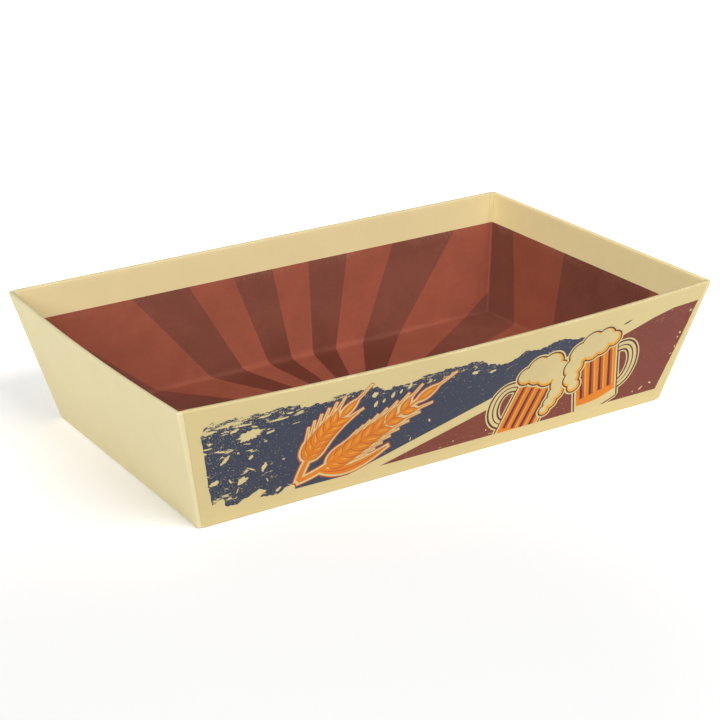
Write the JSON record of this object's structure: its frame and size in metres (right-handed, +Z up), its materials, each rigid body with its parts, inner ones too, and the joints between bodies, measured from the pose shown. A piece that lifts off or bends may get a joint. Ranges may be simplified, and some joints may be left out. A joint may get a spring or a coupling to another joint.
{
  "type": "serving tray",
  "caption": "Tapered rectangular serving tray of paper-covered greyboard, with a printed front and a folded sunburst liner.",
  "frame": {"origin": "middle of the underside, on the surface that the tray stands on", "axes": "+X along the tray's length, to the right as seen from its printed front; +Y from the front to the back; +Z up"},
  "size_m": [0.3419, 0.218, 0.076],
  "materials": {
    "greyboard": "raw grey board",
    "corner_tape": "kraft tape",
    "end_paper": "matte cream paper",
    "side_paper": "matte cream paper",
    "printed_paper": "matte cream paper with a worn print in navy, maroon and orange",
    "base_paper": "matte cream paper",
    "liner_paper": "matte paper printed with a two-tone red-brown sunburst"
  },
  "bodies": {
    "root": {"base_board": "greyboard", "front_board": "greyboard", "right_board": "greyboard", "back_board": "greyboard", "left_board": "greyboard", "front_right_stay": "corner_tape", "back_right_stay": "corner_tape", "back_left_stay": "corner_tape", "front_left_stay": "corner_tape", "right_wrap": "end_paper", "left_wrap": "end_paper", "front_wrap": "printed_paper", "back_wrap": "side_paper", "base_sheet": "base_paper", "liner": "liner_paper"}
  },
  "joints": []
}
